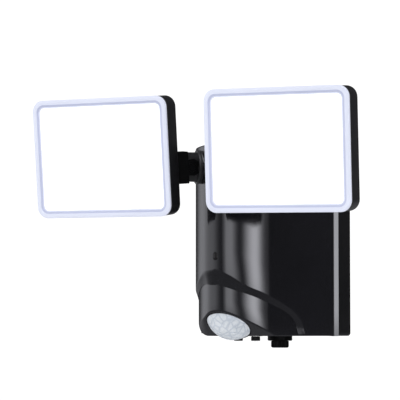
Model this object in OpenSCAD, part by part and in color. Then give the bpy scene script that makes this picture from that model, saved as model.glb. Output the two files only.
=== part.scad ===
// Twin-head LED floodlight with a passive infrared motion sensor, for a wall.
// The wall is the plane Y = 0 and the light faces -Y. The origin is the middle of the wall screws.

/* [Body] */
// Width of the rear case
body_w = 143.2; // [130:0.2:160]
// Height of the body
body_h = 175; // [165:1:200]
// Depth from the wall to the tip of the nose
body_d = 127.7; // [125.5:0.2:132.5]
// Depth of the rear case, from the wall to its front rim
case_d = 24.5; // [20.5:0.5:28.5]
// Radius of the nose, seen from above
nose_r = 24.8; // [22:0.2:28]
// Angle between each long flank and the depth axis
flank_angle = 21.5; // [19:0.5:23]
// Half width of the front cover where the flanks end
flank_end_x = 67.8; // [66:0.2:69]
// Wall thickness of the front cover
cover_wall = 2.6; // [2:0.1:3]
// Wall thickness of the sensor housing
housing_wall = 2.2; // [1.8:0.1:2.6]
// Height of the arch cut into the front cover
arch_h = 60; // [50:1:70]
// Half width of the arch at its feet
arch_w = 51; // [46:1:54]

/* [Sensor] */
// Slope of the sensor face from the horizontal
slant = 33; // [30:0.5:36]
// Distance of the lens centre from the wall
lens_y = 104.5; // [102.5:0.5:106.5]
// Height of the lens centre above the underside
lens_z = 9.5; // [9:0.1:10.5]
// Radius of the lens dome at the sensor face
lens_r = 20.5; // [19:0.5:21]
// Height of the lens dome
lens_h = 11; // [9:0.5:12]
// Spacing of the two setting dials
dial_pitch = 18.6; // [17:0.2:20]
// Radius of a setting dial
dial_r = 4.2; // [3.5:0.1:5]

/* [Arms] */
// Height of the arm axes above the underside
arm_z = 155.3; // [150:0.5:156]
// Distance of each knuckle from the middle plane
knuckle_x = 30.8; // [30:0.2:32]
// Distance of each knuckle from the wall
knuckle_y = 121.3; // [120.9:0.2:122.5]
// Reach of the link from the knuckle to the head hinge, along the arm
link_x = 61.6; // [58:0.2:64]
// Sideways offset of the head hinge from the arm axis
link_y = -25.2; // [-28:0.2:-24]
// Rest swivel of the left arm
left_swivel = -5.7; // [-8:0.1:0]
// Rest tilt of the left arm
left_tilt = 4.2; // [0:0.1:6]
// Rest turn of the left head
left_pan = 4.6; // [0:0.1:8]
// Rest swivel of the right arm
right_swivel = -2.5; // [-8:0.1:0]
// Rest tilt of the right arm
right_tilt = 4.5; // [0:0.1:6]
// Rest turn of the right head
right_pan = -4.1; // [-8:0.1:0]

/* [Heads] */
// Width of a lamp head
head_w = 140; // [130:1:144]
// Height of a lamp head
head_h = 109; // [100:1:112]
// Depth of a lamp head
head_d = 21; // [18:0.5:21]
// Height of the head's middle above its hinge
head_rise = 13; // [10:1:14]
// Width of the light frame around the lit panel
bezel_w = 7.4; // [5:0.2:8]
// Number of LED columns
led_cols = 12; // [6:1:14]
// Number of LED rows
led_rows = 8; // [4:1:9]

/* [Wall plate] */
// Width between the wall screws
screw_x = 80; // [60:1:84]
// Height between the wall screws
screw_z = 100; // [80:1:110]
// Radius of the wall screw holes
screw_r = 2.75; // [2:0.05:3.2]

/* [Hidden] */
$fn = 64;
eps = 0.01;
gap = 0.2;
left = -1;
right = 1;

// colours
black_plastic = [0.09, 0.09, 0.1];
dark_rubber = [0.05, 0.05, 0.05];
steel = [0.72, 0.73, 0.75];
board_green = [0.1, 0.35, 0.2];
milky = [0.93, 0.94, 0.97];
bezel_white = [0.86, 0.87, 0.96];

// The underside of the body; heights in the sections above are measured from it.
bottom_z = -body_h / 2;

// body outline
plate_t = 2;
gasket_t = 0.8;
case_wall = 2.5;
case_back_t = 3;
case_r = 3;
cover_back_y = -case_d - gasket_t;
chamfer_d = 3.5;
facet_angle = 45;
nose_y = nose_r - body_d;
blend_r = 30;
top_t = 2.6;
housing_inset = cover_wall + gap;
housing_h = arch_h + 8;
housing_back_y = -42.5;
arc_steps = 8;

// The long flank is a line through the front corner; x(y) gives its half width.
flank_y = cover_back_y - chamfer_d;
function flank_x(y) = flank_end_x + (y - flank_y) * tan(flank_angle);
function arc(cx, cy, r, from, to, n) =
    [for (i = [0 : n]) let (a = from + (to - from) * i / n) [cx + r * sin(a), cy - r * cos(a)]];

// The facet is the 45 degree line that leaves the nose arc; it meets the flank at (meet_x, meet_y).
facet_c = nose_r * sin(facet_angle) - (nose_y - nose_r * cos(facet_angle));
meet_y = (flank_end_x - flank_y * tan(flank_angle) - facet_c) / (1 - tan(flank_angle));
meet_x = flank_x(meet_y);
half_turn = (facet_angle - flank_angle) / 2;
blend_t = blend_r * tan(half_turn);
blend_x = meet_x - (blend_t + blend_r) * sin(facet_angle);
blend_y = meet_y - (blend_t - blend_r) * cos(facet_angle);

// Right half of the bow-shaped outline, set in by t, from the tip of the nose to the back.
function half_bow(t) = concat(
    arc(0, nose_y, nose_r - t, 0, facet_angle, arc_steps),
    arc(blend_x, blend_y, blend_r - t, facet_angle, 90 - flank_angle, arc_steps),
    [[flank_end_x - t, flank_y], [body_w / 2 - t, cover_back_y]]
);
function mirrored(points) = [for (i = [len(points) - 1 : -1 : 0]) [-points[i][0], points[i][1]]];
function bow(t) = concat(mirrored(half_bow(t)), half_bow(t));

module bow_prism(t, h) {
    translate([0, 0, bottom_z]) linear_extrude(h) polygon(bow(t));
}

// Rounded rectangle as a polygon, centred.
function rounded(w, h, r) = [
    for (k = [0 : 3], i = [0 : arc_steps])
        let (sx = (k == 0 || k == 3) ? 1 : -1, sy = k < 2 ? 1 : -1, a = 90 * (k + i / arc_steps))
        [sx * (w / 2 - r) + r * cos(a), sy * (h / 2 - r) + r * sin(a)]
];

// A flat slab standing in the XZ plane, from y = y0 towards -Y by t.
module slab(w, h, r, y0, t) {
    translate([0, y0, 0]) rotate([90, 0, 0]) linear_extrude(t) polygon(rounded(w, h, r));
}

// A rod along Y, from y = y0 towards -Y by t.
module rod(x, z, r, y0, t, fn = 64) {
    translate([x, y0, z]) rotate([90, 0, 0]) cylinder(r = r, h = t, $fn = fn);
}

module at_screws(w, h) {
    for (sx = [-1, 1], sz = [-1, 1]) translate([sx * w / 2, 0, sz * h / 2]) children();
}

// ---- wall plate and rear case ----
case_screw_w = 124;
case_screw_h = 151;
plate_screw_h = 130;
board_post_w = 84;
board_post_h = 104;

module wall_plate() {
    color(steel) difference() {
        slab(110, 146, 6, 0, plate_t);
        at_screws(screw_x, screw_z) rod(0, 0, screw_r, 1, plate_t + 2);
        for (s = [-1, 1]) rod(0, s * plate_screw_h / 2, 2, 1, plate_t + 2);
        rod(0, 0, 18, 1, plate_t + 2);
    }
}

module rear_case() {
    inner_d = case_d - plate_t - case_back_t;
    color(black_plastic) difference() {
        union() {
            difference() {
                slab(body_w, body_h, case_r, -plate_t, case_d - plate_t);
                slab(body_w - 2 * case_wall, body_h - 2 * case_wall, 1.5,
                    -plate_t - case_back_t, inner_d + 1);
            }
            at_screws(case_screw_w, case_screw_h) rod(0, 0, 4.2, -plate_t - 1, case_d - plate_t - 1);
            at_screws(board_post_w, board_post_h) rod(0, 0, 3.4, -plate_t - 1, case_d - plate_t - 1);
        }
        at_screws(case_screw_w, case_screw_h) rod(0, 0, 2.2, 0, case_d + 1);
        at_screws(case_screw_w, case_screw_h) rod(0, 0, 4, -plate_t + 1, 3.2);
        for (s = [-1, 1]) rod(0, s * plate_screw_h / 2, 2.2, 0, 10);
        rod(0, 0, 9, 0, 10);
    }
}

module case_gasket() {
    color(dark_rubber) difference() {
        slab(body_w - 1, body_h - 1, case_r, -case_d, gasket_t);
        slab(body_w - 2 * case_wall, body_h - 2 * case_wall, 1.5, -case_d + 1, gasket_t + 2);
    }
}

module case_screws() {
    color(steel) at_screws(case_screw_w, case_screw_h) {
        rod(0, 0, 3.7, -plate_t - 0.1, 2);
        rod(0, 0, 2, -plate_t - 2, case_d + 7);
    }
}

module plate_screws() {
    color(steel) for (s = [-1, 1]) {
        rod(0, s * plate_screw_h / 2, 4, -plate_t - case_back_t, 2.6);
        rod(0, s * plate_screw_h / 2, 1.9, -0.2, plate_t + case_back_t);
    }
}

// ---- front cover ----
window_w = 4.4;
window_h = 6.6;
window_z = 72.5;
cover_post_t = 14;
socket_r = 13;
flange_r = 15.5;

// Height of the arch over the half width x.
function arch_z(x) = arch_h * pow(max(0, 1 - pow(x / arch_w, 2)), 0.74);

module arch_cut() {
    steps = 24;
    top = [for (i = [-steps : steps]) let (x = arch_w * sin(90 * i / steps)) [x, arch_z(x)]];
    translate([0, -47.5, bottom_z]) rotate([90, 0, 0]) linear_extrude(body_d)
        polygon(concat([[-arch_w, -1]], top, [[arch_w, -1]]));
}

module window_shape(w, h, y0, t) {
    translate([0, y0, bottom_z + window_z]) rotate([90, 0, 0]) linear_extrude(t)
        polygon(rounded(w, h, w / 2 - 0.1));
}

module front_cover() {
    color(black_plastic) difference() {
        union() {
            difference() {
                bow_prism(0, body_h);
                translate([0, 0, -1]) bow_prism(cover_wall, body_h - top_t + 1);
                translate([-body_w / 2 + cover_wall, cover_back_y - 1, bottom_z - 1])
                    cube([body_w - 2 * cover_wall, 5, body_h - top_t + 1]);
            }
            intersection() {
                at_screws(case_screw_w, case_screw_h)
                    rod(0, 0, 4.2, cover_back_y, cover_post_t);
                bow_prism(1, body_h);
            }
        }
        arch_cut();
        for (s = [left, right]) arm_frame(s) translate([-24, 0, 0]) along_x(socket_r + 0.1, 30);
        window_shape(window_w, window_h, -body_d + 10, 20);
        at_screws(case_screw_w, case_screw_h) rod(0, 0, 2.1, cover_back_y + 1, 13);
    }
}

module light_window() {
    color([0.35, 0.3, 0.3]) window_shape(window_w - 0.3, window_h - 0.3, -body_d + 3.4, 3.3);
}

module photocell() {
    color([0.75, 0.4, 0.2]) rod(0, bottom_z + window_z, 2.5, -body_d + 5.6, 2);
}

// ---- sensor housing, the inset lower body ----
dial_y = -71.5;
dial_at = [-dial_pitch / 2, dial_pitch / 2];
dial_hole_r = 2.1;
gland_x = 18;
gland_y = -41.5;
gland_neck_r = 8;
lens_flange_r = 23;
lens_flange_t = 1.4;
lens_t = 1.2;

// Local frame of the sensor face: the origin is the lens centre, +Z points into the body.
module lens_frame() {
    translate([0, -lens_y, bottom_z + lens_z]) rotate([-slant, 0, 0]) children();
}

module above_slant(t) {
    lens_frame() translate([-100, -60, t]) cube([200, 300, 200]);
}

module sensor_housing() {
    color(black_plastic) difference() {
        intersection() {
            bow_prism(housing_inset, housing_h);
            above_slant(0);
        }
        intersection() {
            translate([0, 0, housing_wall]) bow_prism(housing_inset + housing_wall, housing_h);
            above_slant(housing_wall);
            translate([-100, -200, bottom_z]) cube([200, 200 + cover_back_y + 1, 200]);
        }
        translate([-100, housing_back_y, bottom_z + housing_wall]) cube([200, 40, 200]);
        lens_frame() translate([0, 0, -1]) cylinder(r = lens_r + gap, h = housing_wall + 2);
        for (x = dial_at)
            translate([x, dial_y, bottom_z - 1]) cylinder(r = dial_hole_r, h = housing_wall + 2);
        translate([gland_x, gland_y, bottom_z - 1]) cylinder(r = gland_neck_r + 0.1, h = housing_wall + 2);
    }
}

// Trims a piece to the room inside the housing's walls and floor.
module in_housing() {
    room = housing_wall + 0.1;
    intersection() {
        children();
        translate([0, 0, room]) bow_prism(housing_inset + room, housing_h);
    }
}

lens_sphere_r = (lens_r * lens_r + lens_h * lens_h) / (2 * lens_h);

module sensor_lens() {
    color(milky) lens_frame() {
        difference() {
            intersection() {
                translate([0, 0, lens_sphere_r - lens_h]) sphere(r = lens_sphere_r, $fn = 96);
                translate([0, 0, -lens_h - 1]) cylinder(r = lens_r, h = lens_h + 1 + housing_wall + eps);
            }
            translate([0, 0, lens_sphere_r - lens_h]) sphere(r = lens_sphere_r - lens_t, $fn = 96);
            translate([0, 0, eps]) cylinder(r = lens_r - lens_t, h = housing_wall + 1);
        }
        difference() {
            cylinder(r = lens_r, h = housing_wall + eps);
            translate([0, 0, -1]) cylinder(r = lens_r - lens_t, h = housing_wall + 2);
        }
    }
    color(milky) in_housing() lens_frame() translate([0, 0, housing_wall]) difference() {
        cylinder(r = lens_flange_r, h = lens_flange_t);
        translate([0, 0, -1]) cylinder(r = lens_r - lens_t, h = lens_flange_t + 2);
    }
}

module lens_ring() {
    ring_z = housing_wall + lens_flange_t;
    color([0.2, 0.2, 0.22]) in_housing() lens_frame() translate([0, 0, ring_z]) difference() {
        cylinder(r = lens_flange_r, h = ring_top_z - ring_z);
        translate([0, 0, -1]) cylinder(r = lens_r - 3.5, h = 4);
    }
}

pir_board_z = 9.5;
pir_board_r = 21.5;
ring_top_z = housing_wall + lens_flange_t + 1.6;

module pir_sensor() {
    color(steel) lens_frame() {
        translate([0, 0, pir_board_z - 4.4]) cylinder(r = 4.6, h = 4.4);
        translate([0, 0, pir_board_z - 0.6]) cylinder(r = 5.1, h = 0.6);
    }
}

module pir_board() {
    color(board_green) in_housing() lens_frame() {
        translate([0, 0, pir_board_z]) cylinder(r = pir_board_r, h = 1.4);
        for (a = [90, 210, 330]) rotate([0, 0, a]) translate([0, lens_r - 1.5, ring_top_z])
            cylinder(r = 1.5, h = pir_board_z - ring_top_z + eps);
    }
}

// ---- setting dials ----
pot_z = 6;
pot_h = 5;
pot_w = 10;
shaft_r = 2;

module control_board() {
    color(board_green) translate([-21, dial_y - 8, bottom_z + pot_z + pot_h]) cube([42, 16, 1.4]);
}

module dial_pots() {
    color([0.2, 0.35, 0.6]) for (x = dial_at)
        translate([x, dial_y, bottom_z + pot_z]) difference() {
            translate([-pot_w / 2, -pot_w / 2, 0]) cube([pot_w, pot_w, pot_h]);
            translate([0, 0, -1]) cylinder(r = shaft_r + 0.05, h = pot_h - 0.5);
        }
}

module dial(x) {
    knob_h = 4.2;
    color([0.13, 0.13, 0.14]) translate([x, dial_y, bottom_z]) difference() {
        union() {
            translate([0, 0, -knob_h - 0.3]) cylinder(r = dial_r, h = knob_h);
            translate([0, 0, -0.4]) cylinder(r = shaft_r, h = pot_z + 3.4);
        }
        translate([-0.6, -dial_r - 1, -knob_h - 1.3]) cube([1.2, dial_r + 1, 2]);
    }
}

module dial_left() { dial(dial_at[0]); }
module dial_right() { dial(dial_at[1]); }

// ---- driver electronics ----
board_y = -case_d;
board_t = 1.6;
board_w = 100;
board_h = 120;

module driver_board() {
    color(board_green) slab(board_w, board_h, 3, board_y, board_t);
}

// Boxes and capacitors that stand on the front of the driver board: [x, z, width, height, depth].
driver_boxes = [[-28, 12, 26, 22, 20], [18, 40, 18, 14, 15], [20, 8, 30, 12, 10]];
driver_caps = [[-32, 42, 5], [-18, 42, 5], [38, -14, 4], [-36, -22, 6.3]];

module driver_parts() {
    front_y = board_y - board_t;
    color([0.75, 0.65, 0.25]) for (b = driver_boxes)
        translate([b[0] - b[2] / 2, front_y - b[4], b[1] - b[3] / 2]) cube([b[2], b[4], b[3]]);
    color([0.15, 0.2, 0.45]) for (c = driver_caps) rod(c[0], c[1], c[2], front_y, 16);
}

module terminal_block() {
    color([0.85, 0.85, 0.8]) difference() {
        translate([2, board_y - board_t - 13, bottom_z + 34]) cube([32, 13, 12]);
        for (i = [0 : 2]) translate([7.3 + 10.6 * i, board_y - board_t - 6, bottom_z + 33])
            cylinder(r = 2.2, h = 9);
    }
}

// ---- cable gland under the body ----
gland_bore_r = 4.2;
gland_flange_t = 4.5;
gland_nut_r = 8.2;
gland_end_z = -11;
gland_spigot_r = 6.9;
gland_spigot_z = -8.6;
gland_seal_r = 5.6;
gland_seal_h = 3;

module gland_base() {
    color(black_plastic) translate([gland_x, gland_y, bottom_z]) difference() {
        union() {
            translate([0, 0, -gland_flange_t]) cylinder(r = 11.5, h = gland_flange_t);
            translate([0, 0, -eps]) cylinder(r = gland_neck_r, h = 7);
            translate([0, 0, gland_spigot_z]) cylinder(r = gland_spigot_r, h = -gland_spigot_z);
        }
        translate([0, 0, gland_spigot_z - 1]) cylinder(r = gland_bore_r, h = 20);
        translate([0, 0, gland_spigot_z - 1]) cylinder(r = gland_seal_r, h = gland_seal_h + 1);
    }
}

module gland_seal() {
    color(dark_rubber) translate([gland_x, gland_y, bottom_z + gland_spigot_z]) difference() {
        cylinder(r = gland_seal_r, h = gland_seal_h);
        translate([0, 0, -1]) cylinder(r = gland_bore_r, h = 6);
    }
}

module gland_nut() {
    ribs = 18;
    color([0.13, 0.13, 0.14]) translate([gland_x, gland_y, bottom_z + gland_end_z]) difference() {
        union() {
            cylinder(r = gland_nut_r - 0.6, h = -gland_end_z - gland_flange_t);
            for (i = [0 : ribs - 1]) rotate([0, 0, 360 * i / ribs])
                translate([gland_nut_r - 1.2, -0.6, 1]) cube([1.2, 1.2, -gland_end_z - gland_flange_t - 1]);
        }
        translate([0, 0, -1]) cylinder(r = gland_bore_r, h = 20);
        translate([0, 0, gland_spigot_z - gland_end_z - 0.1]) cylinder(r = gland_spigot_r + 0.05, h = 10);
    }
}

// ---- arms ----
arm_angle = 45;
collar_x = -8;
flange_x = -5.3;
disc_r = 11.2;
disc_t = 4;
washer_t = 1;
stem_r = 7;
stem_end_x = -27;
socket_end_x = -21;
tenon_half = 6;
tenon_h = 13.5;
ear_r = 7.6;
ear_out = 10.4;
block_x = 3.8;
block_end_x = 17;
block_h = 14.6;
pin_r = 2.5;
barrel_r = 8;
barrel_h = 7;

function swivel_of(s) = s < 0 ? left_swivel : right_swivel;
function tilt_of(s) = s < 0 ? left_tilt : right_tilt;
function pan_of(s) = s < 0 ? left_pan : right_pan;

// The left arm is modelled; the right one is its mirror image with its own rest angles.
module on_side(s) {
    if (s > 0) mirror([1, 0, 0]) children();
    else children();
}

// Arm frame: the origin is the knuckle, +X points out along the arm, +Y towards the nose.
module arm_frame(s) {
    on_side(s) translate([-knuckle_x, -knuckle_y, bottom_z + arm_z])
        rotate([0, 0, 180 + arm_angle]) children();
}

module knuckle_frame(s) {
    arm_frame(s) rotate([swivel_of(s), 0, 0]) children();
}

module link_frame(s) {
    knuckle_frame(s) rotate([0, tilt_of(s), 0]) children();
}

// Head frame: the origin is the head hinge, the head faces -Y.
module head_frame(s) {
    link_frame(s) translate([link_x, link_y, 0]) rotate([0, 0, pan_of(s) - 180 - arm_angle]) children();
}

module along_x(r, l, fn = 64) {
    rotate([0, 90, 0]) cylinder(r = r, h = l, $fn = fn);
}

// A cylinder along Y, centred on y = 0.
module across(r, l, fn = 64) {
    rotate([90, 0, 0]) cylinder(r = r, h = l, center = true, $fn = fn);
}

module arm_socket(s) {
    floor_x = collar_x - disc_t - washer_t;
    color(black_plastic) difference() {
        union() {
            difference() {
                arm_frame(s) translate([collar_x - 6, 0, 0]) along_x(flange_r, 6);
                translate([0, 0, 100]) bow_prism(-0.05, 90);
            }
            arm_frame(s) translate([socket_end_x, 0, 0]) along_x(socket_r, collar_x - socket_end_x);
        }
        arm_frame(s) translate([floor_x, 0, 0]) along_x(disc_r + 0.2, 20);
        arm_frame(s) translate([socket_end_x - 1, 0, 0]) along_x(stem_r + 0.1, 20);
    }
}

module arm_washer(s) {
    color(dark_rubber) arm_frame(s) translate([collar_x - disc_t - washer_t + 0.05, 0, 0]) difference() {
        along_x(disc_r - 0.3, washer_t - 0.1);
        translate([-1, 0, 0]) along_x(stem_r + 0.3, 4);
    }
}

module arm_knuckle(s) {
    front_x = collar_x + gap;
    color([0.3, 0.3, 0.31]) knuckle_frame(s) difference() {
        union() {
            intersection() {
                across(tenon_h, 2 * tenon_half);
                translate([front_x, -20, -20]) cube(40);
            }
            translate([front_x, -tenon_half, -tenon_h]) cube([-front_x, 2 * tenon_half, 2 * tenon_h]);
            difference() {
                translate([front_x, 0, 0]) along_x(flange_r, flange_x - front_x);
                across(ear_r + 0.4, 2 * ear_out + 0.8);
            }
            translate([collar_x - disc_t, 0, 0]) along_x(disc_r, disc_t + 2 * gap);
            translate([stem_end_x, 0, 0]) along_x(stem_r, collar_x - stem_end_x);
        }
        across(pin_r, 40);
        translate([stem_end_x - 1, 0, 0]) along_x(2.5, 20);
    }
}

module arm_nut(s) {
    color(steel) knuckle_frame(s) translate([stem_end_x + 1, 0, 0]) difference() {
        along_x(12, socket_end_x - stem_end_x - 1.1, 6);
        translate([-1, 0, 0]) along_x(stem_r + 0.05, 10);
    }
}

module arm_link(s) {
    bar_w = 13;
    bar_h = barrel_h - 0.5;
    bar_start_x = block_end_x - 3.6;
    bar_x = link_x - bar_start_x;
    bar_l = sqrt(bar_x * bar_x + link_y * link_y);
    color(black_plastic) link_frame(s) difference() {
        union() {
            translate([block_x, -ear_out, -block_h])
                cube([block_end_x - block_x, 2 * ear_out, 2 * block_h]);
            across(ear_r, 2 * ear_out);
            translate([0, -ear_out, -ear_r + gap]) cube([block_x + 1, 2 * ear_out, 2 * (ear_r - gap)]);
            translate([bar_start_x, 0, -bar_h]) rotate([0, 0, atan2(link_y, bar_x)])
                translate([0, -bar_w / 2, 0]) cube([bar_l, bar_w, 2 * bar_h]);
            translate([link_x, link_y, -barrel_h]) cylinder(r = barrel_r, h = 2 * barrel_h);
        }
        across(tenon_h + 0.4, 2 * tenon_half + 0.4);
        across(pin_r, 40);
        for (y = [-ear_out, ear_out]) translate([0, y, 0]) across(4.2, 4);
        translate([link_x, link_y, -20]) cylinder(r = pin_r, h = 40);
    }
}

module knuckle_bolt(s) {
    color(steel) link_frame(s) {
        translate([0, ear_out - 1.2, 0]) across(4, 1.6);
        across(pin_r - 0.05, 2 * ear_out - 2);
    }
}

module knuckle_nut(s) {
    color(steel) link_frame(s) translate([0, -ear_out + 1.2, 0]) difference() {
        across(4, 1.6, 6);
        across(pin_r - 0.05 + 0.01, 10);
    }
}

// ---- lamp heads ----
face_y = -34;
back_y = face_y + head_d;
bezel_d = 2.2;
rim_y = face_y + bezel_d + gasket_t;
head_wall = 2.2;
head_r = 10.5;
lug_t = 5;
lug_z = barrel_h + 0.2;
post_w = 112;
post_h = 84;
spreader_y = back_y - 9.4;

module head_housing(s) {
    step_t = 1;
    color(black_plastic) head_frame(s) difference() {
        union() {
            translate([0, 0, head_rise]) difference() {
                union() {
                    slab(head_w - 0.6, head_h - 0.6, head_r, back_y - step_t, back_y - step_t - rim_y);
                    slab(head_w - 4, head_h - 4, head_r - 1.6, back_y, step_t + 1);
                }
                slab(head_w - 2 * head_wall, head_h - 2 * head_wall, head_r - head_wall,
                    back_y - step_t - 2.5, head_d);
                slab(head_w - 14, head_h - 14, 6, back_y - 2.5, head_d);
            }
            translate([0, 0, head_rise]) at_screws(post_w, post_h) rod(0, 0, 3.6, back_y - 1, 8.3);
            for (z = [lug_z, -lug_z - lug_t]) {
                translate([0, 0, z]) cylinder(r = barrel_r, h = lug_t);
                translate([-barrel_r, back_y - 1, z]) cube([2 * barrel_r, 1 - back_y, lug_t]);
            }
        }
        translate([0, 0, -20]) cylinder(r = pin_r, h = 40);
        translate([0, 0, head_rise]) at_screws(post_w, post_h) {
            rod(0, 0, 1.7, back_y + 1, 12);
            rod(0, 0, 3.1, back_y + 1, 3);
        }
    }
}

module head_gasket(s) {
    color(dark_rubber) head_frame(s) translate([0, 0, head_rise]) difference() {
        slab(head_w - 1.2, head_h - 1.2, head_r, rim_y, gasket_t);
        slab(head_w - 2 * head_wall, head_h - 2 * head_wall, head_r - head_wall, rim_y + 1, gasket_t + 2);
    }
}

module head_bezel(s) {
    color(bezel_white) head_frame(s) translate([0, 0, head_rise]) difference() {
        slab(head_w, head_h, head_r, rim_y - gasket_t, bezel_d);
        slab(head_w - 2 * bezel_w, head_h - 2 * bezel_w, 5.5, 0, 40);
        slab(head_w - 8, head_h - 8, 7, rim_y, gasket_t + bezel_d - 1.3);
    }
}

module diffuser(s) {
    lip_y = face_y + 2.5;
    color(milky) head_frame(s) translate([0, 0, head_rise]) {
        slab(head_w - 2 * bezel_w - gap, head_h - 2 * bezel_w - gap, 5.4, lip_y, 2);
        slab(head_w - 8 - gap, head_h - 8 - gap, 6.9, lip_y, 1.1);
    }
}

module light_guide(s) {
    color([0.85, 0.92, 0.95]) head_frame(s) translate([0, 0, head_rise])
        slab(head_w - 9, head_h - 9, 6.5, face_y + 4.7, 2);
}

module led_board(s) {
    color([0.95, 0.95, 0.93]) head_frame(s) translate([0, 0, head_rise])
        slab(head_w - 10, head_h - 10, 5, spreader_y - 1.5, 1.2);
}

module led_chips(s) {
    pitch_x = (head_w - 22) / (led_cols - 1);
    pitch_z = (head_h - 22) / (led_rows - 1);
    color([0.98, 0.9, 0.5]) head_frame(s) translate([0, 0, head_rise])
        for (i = [0 : led_cols - 1], k = [0 : led_rows - 1])
            translate([(i - (led_cols - 1) / 2) * pitch_x - 1.4, spreader_y - 3.4,
                (k - (led_rows - 1) / 2) * pitch_z - 1.4]) cube([2.8, 0.7, 2.8]);
}

module heat_spreader(s) {
    color(steel) head_frame(s) translate([0, 0, head_rise])
        slab(head_w - 10, head_h - 10, 5, spreader_y, 1.5);
}

module head_screws(s) {
    color(steel) head_frame(s) translate([0, 0, head_rise]) at_screws(post_w, post_h) {
        rod(0, 0, 2.8, back_y, 1.8);
        rod(0, 0, 1.5, back_y - 1, 8.4);
    }
}

module pan_pin(s) {
    color(steel) head_frame(s) {
        translate([0, 0, -lug_z - lug_t - 0.2]) cylinder(r = pin_r - 0.05, h = 2 * (lug_z + lug_t) + 0.4);
        for (z = [lug_z + lug_t + 0.1, -lug_z - lug_t - 1.7]) translate([0, 0, z]) cylinder(r = 4.2, h = 1.6);
    }
}

wall_plate();
rear_case();
case_gasket();
case_screws();
plate_screws();
front_cover();
sensor_housing();
sensor_lens();
lens_ring();
pir_sensor();
pir_board();
light_window();
photocell();
control_board();
dial_pots();
dial_left();
dial_right();
driver_board();
driver_parts();
terminal_block();
gland_base();
gland_seal();
gland_nut();
arm_socket(left);  // left_arm_socket
arm_washer(left);  // left_arm_washer
arm_knuckle(left);  // left_arm_knuckle
arm_nut(left);  // left_arm_nut
knuckle_bolt(left);  // left_knuckle_bolt
knuckle_nut(left);  // left_knuckle_nut
arm_link(left);  // left_arm_link
pan_pin(left);  // left_pan_pin
head_housing(left);  // left_head_housing
head_gasket(left);  // left_head_gasket
head_bezel(left);  // left_head_bezel
diffuser(left);  // left_diffuser
light_guide(left);  // left_light_guide
led_board(left);  // left_led_board
led_chips(left);  // left_led_chips
heat_spreader(left);  // left_heat_spreader
head_screws(left);  // left_head_screws
arm_socket(right);  // right_arm_socket
arm_washer(right);  // right_arm_washer
arm_knuckle(right);  // right_arm_knuckle
arm_nut(right);  // right_arm_nut
knuckle_bolt(right);  // right_knuckle_bolt
knuckle_nut(right);  // right_knuckle_nut
arm_link(right);  // right_arm_link
pan_pin(right);  // right_pan_pin
head_housing(right);  // right_head_housing
head_gasket(right);  // right_head_gasket
head_bezel(right);  // right_head_bezel
diffuser(right);  // right_diffuser
light_guide(right);  // right_light_guide
led_board(right);  // right_led_board
led_chips(right);  // right_led_chips
heat_spreader(right);  // right_heat_spreader
head_screws(right);  // right_head_screws
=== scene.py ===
"""Looks of a twin-head LED floodlight with a motion sensor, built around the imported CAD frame.

Lengths are in millimetres until a piece is made. The finished pieces are in metres, in the CAD frame.
"""
import math

import bmesh
import bpy
from mathutils import Matrix, Vector


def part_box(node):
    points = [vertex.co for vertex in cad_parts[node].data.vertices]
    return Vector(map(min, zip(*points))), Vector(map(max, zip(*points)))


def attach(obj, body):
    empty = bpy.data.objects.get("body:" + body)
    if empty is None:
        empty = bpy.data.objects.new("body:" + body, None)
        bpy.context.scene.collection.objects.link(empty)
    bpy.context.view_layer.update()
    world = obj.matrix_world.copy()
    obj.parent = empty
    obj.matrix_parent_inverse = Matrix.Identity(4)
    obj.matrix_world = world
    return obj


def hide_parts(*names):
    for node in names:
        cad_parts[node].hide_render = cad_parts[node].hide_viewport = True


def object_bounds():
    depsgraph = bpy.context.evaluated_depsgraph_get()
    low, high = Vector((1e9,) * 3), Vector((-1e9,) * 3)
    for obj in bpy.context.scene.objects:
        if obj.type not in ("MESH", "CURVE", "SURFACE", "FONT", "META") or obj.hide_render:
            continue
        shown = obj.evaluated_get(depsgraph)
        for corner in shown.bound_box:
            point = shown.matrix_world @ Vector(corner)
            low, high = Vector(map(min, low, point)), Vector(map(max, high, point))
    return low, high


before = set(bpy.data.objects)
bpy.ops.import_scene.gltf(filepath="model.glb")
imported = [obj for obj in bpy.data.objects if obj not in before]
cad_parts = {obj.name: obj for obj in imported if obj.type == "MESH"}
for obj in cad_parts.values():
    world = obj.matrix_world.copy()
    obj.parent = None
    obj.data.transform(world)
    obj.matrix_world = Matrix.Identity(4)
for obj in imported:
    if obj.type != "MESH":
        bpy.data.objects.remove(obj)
cad_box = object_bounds()

MM = 0.001

# ---- driving dimensions, the same as the CAD model's ----
TOP_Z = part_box("front_cover")[1].z / MM
BOTTOM_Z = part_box("rear_case")[0].z / MM
BODY_W = 143.2
COVER_BACK_Y = -25.3
FLANK_Y = -29.35  # where a flank ends and its chamfer begins
FLANK_END_X = 67.58
FLANK_ANGLE = math.radians(21.5)
NOSE_R = 24.8
NOSE_TIP_Y = -127.7
COVER_WALL = 2.6
HOUSING_INSET = 2.8
SLANT = math.radians(33)
FOOT_X = 55.3  # half width of the arch at the underside, at its outer and inner edge
FOOT_INNER_X = 52.8
LENS_Y = -104.5
LENS_Z = BOTTOM_Z + 9.5
LENS_R = 20.5
LENS_H = 11
DIAL_Y = -71.5
DIAL_X = 9.3
DIAL_R = 4.2
GLAND_X = 18
GLAND_Y = -41.5
HEAD_W = 140
HEAD_H = 109
HEAD_RISE = 13  # of a head's middle above its hinge
HEAD_R = 10.5
FACE_Y = -34  # depths of a head, from its hinge axis
BACK_Y = -13
RIM_Y = -31
BEZEL_W = 7.4
POST_W = 112
POST_H = 84
KNUCKLE = Vector((-30.8, -121.3, BOTTOM_Z + 155.3))
HINGE = Vector((61.6, -25.2, 0))
ARM_OUT = math.radians(225)  # how far an arm's own frame is turned about Z
REST = {"left": (-5.7, 4.2, 4.6), "right": (-2.5, 4.5, -4.1)}  # swivel, tilt and pan in degrees
SIDES = ("left", "right")


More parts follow.
